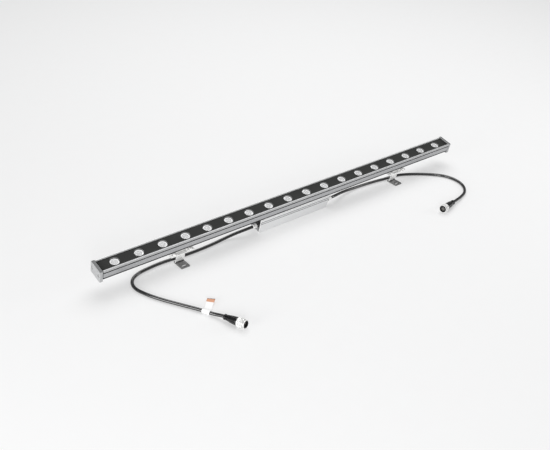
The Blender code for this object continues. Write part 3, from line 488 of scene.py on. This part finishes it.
def make_lenses():
    """Each lens: a crowned collimator with a raised ring, and a pale holder round its cone."""
    front = [(0.0, LENS_TOP - 0.2), (2.4, LENS_TOP - 0.25), (4.8, LENS_TOP - 0.5), (6.4, LENS_TOP - 0.85),
             (6.8, LENS_TOP - 0.9), (7.1, LENS_TOP - 0.5), (7.6, LENS_TOP - 0.15), (8.6, LENS_TOP - 0.15),
             (9.3, LENS_TOP - 0.5), (9.8, LENS_TOP - 1.0), (LENS_RADIUS, LENS_TOP - 1.5)]
    side = []
    for step in range(9):
        t = step / 8
        side.append((9.0 - 5.8 * t ** 1.35, -7.2 - 8.6 * t))
    edge = [(LENS_RADIUS, -6.4), (9.6, -6.8)]
    cavity = [(2.9, -16.0), (2.5, -15.0), (2.2, -12.6), (1.4, -11.8), (0.0, -11.5)]
    optic = to_mesh(lathe(front + edge + side + cavity, 48), "lens_optic")
    # Painted shade: the optic's centre within the core radius gets the greyer core material.
    paint(optic, [LENS_RING, LENS_CORE_SHADE], lambda x, y, z: x * x + y * y < LENS_CORE_RADIUS ** 2)
    holder_profile = [(10.0, -6.6), (9.7, -6.9), (9.5, -7.3)]
    holder_profile += [(radius + 0.5, z - 0.3) for radius, z in side[1:]]
    holder_profile += [(3.0, -16.6), (4.4, -16.6), (5.2, -15.6), (7.2, -13.2), (9.0, -10.2), (10.0, -7.6)]
    holder = to_mesh(lathe(holder_profile, 48, closed=True), "lens_holder")
    for number, x in enumerate(lens_positions(), start=1):
        place = BAR @ at(x, 0, 0)
        piece(f"lens_{number:02d}_optic", optic, LENS_RING, ROOT, place, [f"lens_{number:02d}"])
        piece(f"lens_{number:02d}_holder", holder, LENS_HOLDER, ROOT, place)


def make_bar():
    make_housing()
    end_screw = screw_mesh(2.9, 2.3, 1.5, 3.4)
    for side, sign in (("left", -1), ("right", 1)):
        make_cap(side, sign)
        for place, y in (("front", -END_SCREW_Y), ("rear", END_SCREW_Y)):
            node = f"end_screw_{side}_{place}"
            where = BAR @ at(sign * (BAR_HALF_LENGTH - 2.7), y, END_SCREW_Z)
            where = where @ Matrix.Rotation(sign * pi / 2, 4, "Y") @ Matrix.Rotation(0.4 * sign, 4, "Z")
            piece(f"{node}_fine", end_screw, STEEL_AND_GROOVE_SHADE, ROOT, where, [node])
    make_mask()
    make_lenses()


# ---- the driver box -------------------------------------------------------------
def make_cover():
    """U channel of sheet with round bends, pressed creases and inturned lips; its top edges and left end
    carry a painted highlight.
    """
    top = -WALL_DEPTH - GAP
    inner = BODY_HALF - COVER_WALL
    lip = top - 1.6
    outside = [(RAIL_NECK + 0.8, top, 0.3), (BODY_HALF - 1.2, top, 0.3), (BODY_HALF, top - 1.2, 0.3)]
    for crease in CREASES:
        outside += [(BODY_HALF, crease + CREASE_HALF, 0.3), (BODY_HALF - CREASE_DEPTH, crease, 0.3),
                    (BODY_HALF, crease - CREASE_HALF, 0.3)]
    outside.append((BODY_HALF, COVER_BOTTOM, 2.6))
    inside = [(inner, COVER_BOTTOM + COVER_WALL, 1.0), (inner, lip, 0.4), (RAIL_NECK + 0.8, lip, 0.3)]
    mirrored = [(-point[0], *point[1:]) for point in reversed(outside)]
    mirrored_inside = [(-point[0], *point[1:]) for point in reversed(inside)]
    outline = rounded(outside + mirrored + mirrored_inside + inside, 0.4, 4)
    mesh = carved(section(outline, COVER_LEFT, COVER_RIGHT), bevel=0.2, angle=60.0)
    # Painted shade: one flank of each crease gets the darker crease grey.
    paint(mesh, [COVER_GREY, COVER_EDGE_HIGHLIGHT, CREASE_SHADE], lambda x, y, z: (
        1 if (z > top - 1.6 and abs(y) > 16.6) or abs(x - COVER_LEFT) < 0.3 else
        2 if abs(y) > inner + 0.5 and any(crease - CREASE_HALF < z < crease for crease in CREASES) else 0))
    piece("driver_cover_fine", mesh, COVER_GREY, ROOT, BAR, ["driver_cover"])


def make_gland(side, sign, outer_face):
    """Driver end plate, gland body with a hexagon, and its ribbed dome nut."""
    outline = rounded([(DRIVER_HALF, DRIVER_BOTTOM), (DRIVER_HALF, DRIVER_TOP), (-DRIVER_HALF, DRIVER_TOP),
                       (-DRIVER_HALF, DRIVER_BOTTOM)], 1.6, 4)
    start, end = sorted((outer_face, outer_face - sign * END_PLATE_THICK))
    plate = carved(section(outline, start, end), cuts=[rod((outer_face, GLAND_Y, GLAND_Z), 4.3, 12.0, "X")],
                   bevel=0.5)
    piece(f"driver_end_{side}_fine", plate, END_GREY, ROOT, BAR, [f"driver_end_{side}"])

    axis = BAR @ at(outer_face, GLAND_Y, GLAND_Z) @ Matrix.Rotation(sign * pi / 2, 4, "Y")
    body_profile = [
        (0.0, GLAND_BODY_LENGTH), (4.4, GLAND_BODY_LENGTH), (4.4, 9.6), (4.7, 9.2), (4.3, 8.8), (4.7, 8.4),
        (4.3, 8.0), (4.7, 7.6), (4.3, 7.2), (4.3, 6.6), (5.55, 6.4, 0.0, 6), (5.6, 6.0, 0.62, 6),
        (5.6, 1.0, 0.62, 6), (5.55, 0.5, 0.0, 6), (5.5, GAP), (4.0, GAP), (4.0, -2.8), (0.0, -2.8),
    ]
    # Painted shade: the gland body is near-black, for the shade in the cover's end.
    piece(f"gland_body_{side}_fine", lathe(body_profile, 48), GLAND_BODY_SHADE, ROOT, axis,
          [f"gland_body_{side}"])
    radius = GLAND_NUT_RADIUS
    nut_profile = [
        (3.6, 9.9), (3.9, 10.0), (4.4, 9.8), (4.9, 9.0), (5.2, 7.9), (radius, 7.2, 0.0, 12),
        (radius, 6.9, 0.5, 12), (radius, 0.9, 0.5, 12), (radius, 0.6, 0.0, 12), (5.1, 0.0), (3.6, 0.0),
    ]
    piece(f"gland_nut_{side}_fine", lathe(nut_profile, 96, closed=True), NICKEL, ROOT,
          axis @ at(0, 0, GLAND_BODY_LENGTH + GAP), [f"gland_nut_{side}"])


# ---- brackets --------------------------------------------------------------------
def make_clamp(side, centre, screw):
    """Clamp on the T rail: hooked plate with two lugs, a jaw, two screws and the pivot pin."""
    place = BAR @ at(centre, 0, 0)
    low = PLATE_TOP - PLATE_THICK
    hook_top = -WALL_DEPTH - 0.5
    outline = rounded([
        (PLATE_FRONT, low, 0.3), (15.2, low, 1.6), (15.2, hook_top, 0.6), (RAIL_NECK + 0.7, hook_top, 0.3),
        (RAIL_NECK + 0.7, -RAIL_FLANGE_TOP + 0.4, 0.2), (RAIL_HALF + 0.4, -RAIL_FLANGE_TOP + 0.4, 0.3),
        (RAIL_HALF + 0.4, PLATE_TOP, 0.3), (PLATE_FRONT, PLATE_TOP, 0.6)], 0.3)
    lugs, cuts = [], [rod((0.0, PIVOT_Y, PIVOT_Z), PIN_BORE, 40.0, "X", 24)]
    top = PLATE_TOP - PLATE_THICK / 2
    arc = [(PIVOT_Y + KNUCKLE_RADIUS * cos(radians(a)), PIVOT_Z + KNUCKLE_RADIUS * sin(radians(a)))
           for a in range(180, 361, 15)]
    lug_outline = arc + [(PIVOT_Y + KNUCKLE_RADIUS, top), (PIVOT_Y - KNUCKLE_RADIUS, top)]
    for sign in (-1, 1):
        start, end = sorted((sign * LUG_INNER_X, sign * LUG_OUTER_X))
        lugs.append(section(lug_outline, start, end))
        cuts.append(rod((sign * SCREW_X, SCREW_Y, PLATE_TOP), 2.2, 12.0, sides=24))
    cuts.append(block((-10.6, -17.4, low - 3.0), (10.6, -12.4, PLATE_TOP + 3.0)))
    mesh = carved(section(outline, -PLATE_HALF_X, PLATE_HALF_X), lugs, cuts, bevel=0.3)
    body = f"{side}_clamp"
    piece(f"clamp_plate_{side}_fine", mesh, CLAMP_STEEL, body, place, [f"clamp_plate_{side}"])

    low = PLATE_TOP + GAP
    jaw = section(rounded([
        (-15.1, low, 0.2), (-RAIL_HALF - 0.4, low, 0.2), (-RAIL_HALF - 0.4, -RAIL_FLANGE_TOP + 0.4, 0.2),
        (-RAIL_NECK - 0.7, -RAIL_FLANGE_TOP + 0.4, 0.2), (-RAIL_NECK - 0.7, hook_top, 0.2),
        (-15.1, hook_top, 0.9)], 0.2), -27.0, 27.0)
    ear_top = low + JAW_EAR_THICK
    ears = [block((a, -22.2, low), (b, -14.0, ear_top)) for a, b in ((-26.6, -12.4), (12.4, 26.6))]
    bores = [rod((sign * SCREW_X, SCREW_Y, low), 2.2, 8.0, sides=24) for sign in (-1, 1)]
    mesh = carved(jaw, ears, bores, bevel=0.3)
    piece(f"clamp_jaw_{side}_fine", mesh, CLAMP_STEEL, body, place, [f"clamp_jaw_{side}"])

    seat = ear_top + GAP
    for name, sign in (("outer", -1), ("inner", 1)):
        turn = Matrix.Rotation(0.5 * sign, 4, "Z")
        node = f"clamp_screw_{side}_{name}"
        where = place @ at(sign * SCREW_X, SCREW_Y, seat) @ turn
        piece(f"{node}_fine", screw, NICKEL, body, where, [node])

    reach = LUG_OUTER_X + GAP
    pin = [(0.0, reach + 1.2), (1.9, reach + 1.2), (2.3, reach + 0.9), (2.3, reach), (PIN_RADIUS, reach),
           (PIN_RADIUS, -reach), (2.3, -reach), (2.3, -reach - 0.9), (1.9, -reach - 1.2), (0.0, -reach - 1.2)]
    where = place @ at(0, PIVOT_Y, PIVOT_Z) @ Matrix.Rotation(pi / 2, 4, "Y")
    piece(f"pivot_pin_{side}_fine", lathe(pin, 32), STEEL_AND_GROOVE_SHADE, body, where, [f"pivot_pin_{side}"])


def leg_outline(pivot_y, pivot_z):
    """The leg's curved sheet from the knuckle to the base, in row-frame Y-Z."""
    top = Vector((pivot_y + 0.4, pivot_z - 0.8))
    bulge = Vector((pivot_y + 0.2, pivot_z * 0.34))
    foot = Vector((AXIS_Y + LEG_FOOT_Y, FOOT_THICK * 0.5))
    front, back = [], []
    for step in range(17):
        t = step / 16
        point = (1 - t) ** 2 * top + 2 * t * (1 - t) * bulge + t * t * foot
        along = (2 * (1 - t) * (bulge - top) + 2 * t * (foot - bulge)).normalized()
        normal = Vector((along.y, -along.x)) * LEG_THICK / 2
        front.append(tuple(point + normal))
        back.append(tuple(point - normal))
    return front + back[::-1]


def make_foot(side, centre):
    """Foot: slotted base with round corners, curved leg and the knuckle on the pin."""
    pivot_y, pivot_z = bar_to_floor(PIVOT_Y, PIVOT_Z)
    front, back = AXIS_Y + FOOT_FRONT, AXIS_Y + FOOT_BACK
    base = bmesh.new()
    square = [(-FOOT_HALF_X, front), (FOOT_HALF_X, front), (FOOT_HALF_X, back), (-FOOT_HALF_X, back)]
    corners = rounded(square, 2.2, 5)
    rings = [[base.verts.new((x, y, z)) for x, y in corners] for z in (0.0, FOOT_THICK)]
    for index in range(len(corners)):
        following = (index + 1) % len(corners)
        base.faces.new((rings[0][index], rings[0][following], rings[1][following], rings[1][index]))
    base.faces.new(rings[0][::-1])
    base.faces.new(rings[1])
    joins = [section(leg_outline(pivot_y, pivot_z), -FOOT_HALF_X, FOOT_HALF_X),
             rod((0.0, pivot_y, pivot_z), KNUCKLE_RADIUS, 2 * FOOT_HALF_X, "X", 36)]
    slot_y = AXIS_Y + FOOT_SLOT_Y
    cuts = [rod((0.0, pivot_y, pivot_z), PIN_BORE, 30.0, "X", 24),
            block((-SLOT_REACH, slot_y - SLOT_RADIUS, -5.0), (SLOT_REACH, slot_y + SLOT_RADIUS, 5.0))]
    cuts += [rod((x, slot_y, 0.0), SLOT_RADIUS, 10.0, sides=32) for x in (-SLOT_REACH, SLOT_REACH)]
    mesh = carved(base, joins, cuts, bevel=0.3)
    # Painted shade: the base and the leg below twice the base's thickness get the dark foot steel, and the
    # leg above it gets the pale leg steel.
    paint(mesh, [FOOT_STEEL_SHADED, LEG_STEEL], lambda x, y, z: z > 2 * FOOT_THICK)
    piece(f"foot_{side}_fine", mesh, FOOT_STEEL_SHADED, f"{side}_foot", at(centre, 0, 0), [f"foot_{side}"])


def make_brackets():
    screw = screw_mesh(3.4, 2.2, 1.9, 6.0)
    for side, centre in BRACKETS:
        make_clamp(side, centre, screw)
        make_foot(side, centre)


# ---- leads and connectors -----------------------------------------------------------
def smooth_route(points, step):
    """Points at even steps along a Catmull-Rom curve through the route's points."""
    points = [Vector(p) for p in points]
    ends = [2 * points[0] - points[1]] + points + [2 * points[-1] - points[-2]]
    fine = []
    for a, b, c, d in zip(ends, ends[1:], ends[2:], ends[3:]):
        for sample in range(24):
            t = sample / 24
            fine.append(0.5 * (2 * b + (c - a) * t + (2 * a - 5 * b + 4 * c - d) * t ** 2
                               + (3 * b - a - 3 * c + d) * t ** 3))
    fine.append(points[-1])
    lengths = [0.0]
    for a, b in zip(fine, fine[1:]):
        lengths.append(lengths[-1] + (b - a).length)
    count = round(lengths[-1] / step)
    even, index = [], 0
    for number in range(count + 1):
        target = lengths[-1] * number / count
        while index < len(fine) - 2 and lengths[index + 1] < target:
            index += 1
        share = (target - lengths[index]) / (lengths[index + 1] - lengths[index])
        even.append(fine[index].lerp(fine[index + 1], share))
    return even


def make_lead(name, points, node):
    """A round lead along the points, and its length in metres."""
    curve = bpy.data.curves.new(name, "CURVE")
    curve.dimensions = "3D"
    curve.bevel_depth = LEAD_DIAMETER / 2 * MM
    curve.bevel_resolution = 6
    curve.use_fill_caps = True
    spline = curve.splines.new("POLY")
    spline.points.add(len(points) - 1)
    for target, point in zip(spline.points, points):
        target.co = (*(point * MM), 1.0)
    spline.use_smooth = True
    curve.materials.append(LEAD_BLACK)
    lead = bpy.data.objects.new(name, curve)
    bpy.context.scene.collection.objects.link(lead)
    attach(lead, ROOT)
    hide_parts(node)
    length = sum((b - a).length for a, b in zip(points, points[1:]))
    return lead, length * MM


def connector_place(start, nose):
    """The connector's own frame, Z along it from its cable end, and its start and direction."""
    start = Vector((start[0], start[1] + AXIS_Y, 0.0))
    nose = Vector((nose[0], nose[1] + AXIS_Y, 0.0))
    along = (nose - start).normalized() * cos(CONNECTOR_RISE) + Vector((0, 0, sin(CONNECTOR_RISE)))
    start.z = AXIS_HEIGHT - MOULDING_LENGTH * sin(CONNECTOR_RISE)
    turn = along.to_track_quat("Z", "Y").to_matrix().to_4x4()
    return Matrix.Translation(start * MM) @ turn, start, along


def make_moulding(kind, place, stretch):
    """Rubber moulding: collar, ribbed neck, taper with grip flutes, and a shoulder."""
    end = MOULDING_LENGTH + stretch
    neck = [(5.8, 2.4), (5.75, 2.9), (4.9, 3.4)]
    for rib in range(3):
        z = 4.2 + 2.0 * rib
        swell = 0.35 * rib
        neck += [(4.9 + swell, z), (5.4 + swell, z + 0.5), (5.4 + swell, z + 1.1), (4.9 + swell, z + 1.5)]
    taper = [(6.3, 11.0), (6.8, 13.0), (7.4, 16.0, 0.5, 10), (8.0, end - 9.0, 0.8, 10),
             (8.3, end - 5.0, 0.8, 10), (8.35, end - 3.4, 0.0, 10), (8.3, end - 1.2), (8.0, end - GAP)]
    shoulder = [(5.6, end - GAP), (5.6, end + 4.0), (0.0, end + 4.0)]
    profile = [(0.0, 0.0), (5.3, 0.0), (5.8, 0.5)] + neck + taper + shoulder
    return piece(f"{kind}_moulding_fine", lathe(profile[::-1], 80), MOULDED_BLACK, ROOT, place,
                 [f"{kind}_moulding"], angle=50.0)


def make_ring(kind, node, body, place, stretch):
    """Nickel ring with a knurled grip between two smooth collars."""
    start, end = MOULDING_LENGTH + stretch, CONNECTOR_LENGTH[kind] - 1.0
    radius, nose = NUT_RADIUS, NOSE_RADIUS[kind]
    bore = nose - RING_WALL
    grip = [(radius, end - 5.9, 0.0, 24), (radius, end - 6.2, 0.8, 24), (radius, start + 3.1, 0.8, 24),
            (radius, start + 2.8, 0.0, 24)]
    thread = []
    for turn in range(3):
        z = end - 1.4 - 1.2 * turn
        thread += [(nose, z), (nose - 0.35, z - 0.4), (nose - 0.35, z - 0.7), (nose, z - 1.1)]
    profile = [(bore, end - 0.2), (bore + 0.2, end), (nose - 0.5, end), (nose, end - 0.5)] + thread
    profile += [(nose, end - 5.2), (radius - 0.4, end - 5.5)] + grip
    profile += [(9.8, start + 0.8), (9.4, start + 0.1), (6.1, start), (6.1, start + 5.6), (bore, start + 5.6)]
    mesh = to_mesh(lathe(profile, 120, closed=True), "ring")
    # Painted shade: the thread valleys and knurl valleys of the nickel ring get the darker steel grey.
    paint(mesh, [NICKEL, STEEL_AND_GROOVE_SHADE], lambda x, y, z: (
        (end - 5.2 < z < end - 1.3 and x * x + y * y < (nose - 0.1) ** 2) or (
            start + 2.9 < z < end - 6.0 and x * x + y * y < (radius - 0.3) ** 2)))
    return piece(f"{kind}_ring_fine", mesh, NICKEL, body, place, [node])


def make_insert(kind, place, stretch):
    """Contact carrier: black rim round a sunk grey face with its contacts."""
    length = CONNECTOR_LENGTH[kind]
    radius = NOSE_RADIUS[kind] - RING_WALL - 2 * GAP
    seat = MOULDING_LENGTH + stretch + 4.0 + GAP
    face = length - (3.2 if kind == "socket" else 4.4)
    profile = [(0.0, face), (radius - 1.4, face), (radius - 1.3, face + 0.2), (radius - 1.2, length - 0.3),
               (radius - 0.9, length), (radius - 0.4, length), (radius, length - 0.5), (radius, seat + 2.4),
               (5.6, seat + 2.4), (5.6, seat), (0.0, seat)]
    carrier = piece(f"{kind}_insert_fine", lathe(profile, 64), CARRIER_BLACK, ROOT, place,
                    [f"{kind}_insert"])
    centre = [(0.0, face + 0.7), (3.9, face + 0.7), (4.3, face + 0.4), (4.3, face - 0.2), (0.0, face - 0.2)]
    tone = CARRIER_GREY if kind == "socket" else CARRIER_BLACK
    island = piece(f"{kind}_contact_island", lathe(centre, 48), tone, ROOT, place)
    pins = []
    tip = face + (1.5 if kind == "socket" else 0.9)
    for number in range(CONTACT_COUNT):
        angle = 2 * pi * number / CONTACT_COUNT
        pin = lathe([(0.0, tip), (0.35, tip), (0.5, tip - 0.2), (0.5, face), (0.0, face)], 16)
        spot = place @ at(CONTACT_CIRCLE * cos(angle), CONTACT_CIRCLE * sin(angle), 0)
        pins.append(piece(f"{kind}_contact_{number + 1}", pin, CONTACT_GOLD, ROOT, spot))
    return [carrier, island] + pins


def make_tag():
    """Paper label: one strip wrapped round the lead, its two ends closed into a flag."""
    ring = LEAD_DIAMETER / 2 + 0.35
    away = TAG_ALONG.cross(Vector((0.0, 0.0, -1.0))).normalized()
    path = []
    for step in range(25):
        angle = radians(28 + step * (304 / 24))
        path.append((ring * cos(angle), ring * sin(angle)))
    flag_steps, rows_across = 20, 8
    shares = [step / flag_steps for step in range(flag_steps, -1, -1)]
    bm = bmesh.new()
    rows = []
    for side in range(rows_across + 1):
        across = side / rows_across
        edge = TAG_EDGES[0].lerp(TAG_EDGES[1], across)
        start = TAG_POINT + TAG_ALONG * TAG_HALF_WIDTH * (2 * across - 1)
        upper = [start + away * (ring + 0.3) + edge * share + Vector((0, 0, 0.2 + 0.7 * sin(pi * share)))
                 for share in shares]
        wrap = [start + away * out + Vector((0, 0, up)) for out, up in path]
        lower = [point - Vector((0, 0, 0.35)) for point in reversed(upper)]
        rows.append([bm.verts.new(point) for point in upper + wrap + lower])
    count = len(rows[0])
    for first, second in zip(rows, rows[1:]):
        for index in range(count - 1):
            bm.faces.new((first[index], first[index + 1], second[index + 1], second[index]))
    mesh = to_mesh(bm, "label")
    for material in (PAPER, PRINT, PRINT_DARK):
        mesh.materials.append(material)
    for face in mesh.polygons:
        step = face.index % (count - 1)
        from_end = min(step, count - 2 - step)
        face.material_index = 2 if 1 <= from_end < 2 else 1 if 2 <= from_end < 7 else 0
    tag = piece("label_tag_fine", mesh, PAPER, ROOT, None, ["label_tag"], angle=60.0)
    thick = tag.modifiers.new("Solidify", "SOLIDIFY")
    thick.thickness = 0.18 * MM
    thick.offset = 0.0
    return tag


def make_leads():
    gland_y, gland_z = bar_to_floor(GLAND_Y, GLAND_Z)
    reach = GLAND_BODY_LENGTH + GLAND_NUT_LENGTH + 2 * GAP
    runs = (("left", -1, DRIVER_LEFT, LEFT_ROUTE, LEFT_PLUG, "plug", 0.0),
            ("right", 1, DRIVER_RIGHT, RIGHT_ROUTE, RIGHT_SOCKET, "socket", SOCKET_STRETCH))
    for side, sign, outer_face, route, (back, nose), kind, stretch in runs:
        make_gland(side, sign, outer_face)
        place, start, along = connector_place(back, nose)
        first = Vector((outer_face + sign * reach, gland_y, gland_z))
        middle = [Vector((x, y + AXIS_Y, z)) for x, y, z in route]
        last = start - GAP * along
        square = Vector((sign * LEAD_STUB, 0.0, 0.0))
        path = smooth_route([first + square, *middle, last - LEAD_STUB * along], LEAD_STEP)
        lead, length = make_lead(f"lead_{side}_fine", [first, *path, last], f"lead_{side}")
        on_lead = [make_moulding(kind, place, stretch)] + make_insert(kind, place, stretch)
        if kind == "plug":
            on_lead.append(make_ring(kind, "plug_nut", "coupling_nut", place, stretch))
            on_lead.append(make_tag())
        else:
            on_lead.append(make_ring(kind, "socket_ferrule", ROOT, place, stretch))


# ---- floor, light and camera ---------------------------------------------------------
def make_camera():
    """Camera to the front left of the bar, looking down on it, rolled slightly."""
    azimuth, elevation, roll = radians(39.446), radians(31.577), radians(-2.381)
    forward = Vector((sin(azimuth) * cos(elevation), cos(azimuth) * cos(elevation), -sin(elevation)))
    level = forward.cross(Vector((0, 0, 1))).normalized()
    up = (level.cross(forward) * cos(roll) + level * sin(roll)).normalized()
    data = bpy.data.cameras.new("camera")
    data.sensor_width = 36.0
    data.lens = 51.185
    data.clip_start, data.clip_end = 0.05, 30.0
    camera = bpy.data.objects.new("camera", data)
    bpy.context.scene.collection.objects.link(camera)
    turn = Matrix((forward.cross(up), up, -forward)).transposed().to_4x4()
    camera.matrix_world = Matrix.Translation((-1.01317, -1.15665 + AXIS_Y * MM, 0.92203)) @ turn
    bpy.context.scene.camera = camera


def make_floor():
    """Pale floor just below the feet, 12 m across."""
    bm = bmesh.new()
    bmesh.ops.create_grid(bm, x_segments=8, y_segments=8, size=6000.0)
    floor = bpy.data.objects.new("floor", to_mesh(bm, "floor"))
    floor.data.materials.append(FLOOR_PALE)
    floor.location = (0.0, 0.0, -0.0002)
    bpy.context.scene.collection.objects.link(floor)


def make_light(name, location, size, power):
    """A square soft light that faces the middle of the bar."""
    data = bpy.data.lights.new(name, "AREA")
    data.shape = "SQUARE"
    data.size = size
    data.energy = power
    light = bpy.data.objects.new(name, data)
    light.location = location
    light.rotation_euler = (-Vector(location)).to_track_quat("-Z", "Y").to_euler()
    bpy.context.scene.collection.objects.link(light)


def make_world(strength):
    world = bpy.data.worlds.new("studio")
    world.use_nodes = True
    background = world.node_tree.nodes["Background"]
    background.inputs["Color"].default_value = (1.0, 1.0, 1.0, 1.0)
    background.inputs["Strength"].default_value = strength
    bpy.context.scene.world = world


def make_studio():
    make_camera()
    make_floor()
    make_light("top_softbox", (0.8, 0.8, 2.5), 2.6, 60.0)
    make_light("front_softbox", (-1.15, -1.55, 0.65), 0.5, 10.0)
    make_light("left_softbox", (-2.1, -0.35, 0.45), 0.9, 18.0)
    make_light("right_softbox", (1.35, -1.0, 0.6), 0.6, 4.5)
    make_world(0.27)
    bpy.context.scene.view_settings.view_transform = "Standard"


def finish_nodes():
    """Gives the CAD nodes that stay in view their materials."""
    for name, material in NODE_MATERIALS.items():
        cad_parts[name].data.materials.clear()
        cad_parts[name].data.materials.append(material)


make_studio()
make_leads()
make_bar()
make_cover()
make_brackets()
finish_nodes()

bpy.context.view_layer.update()
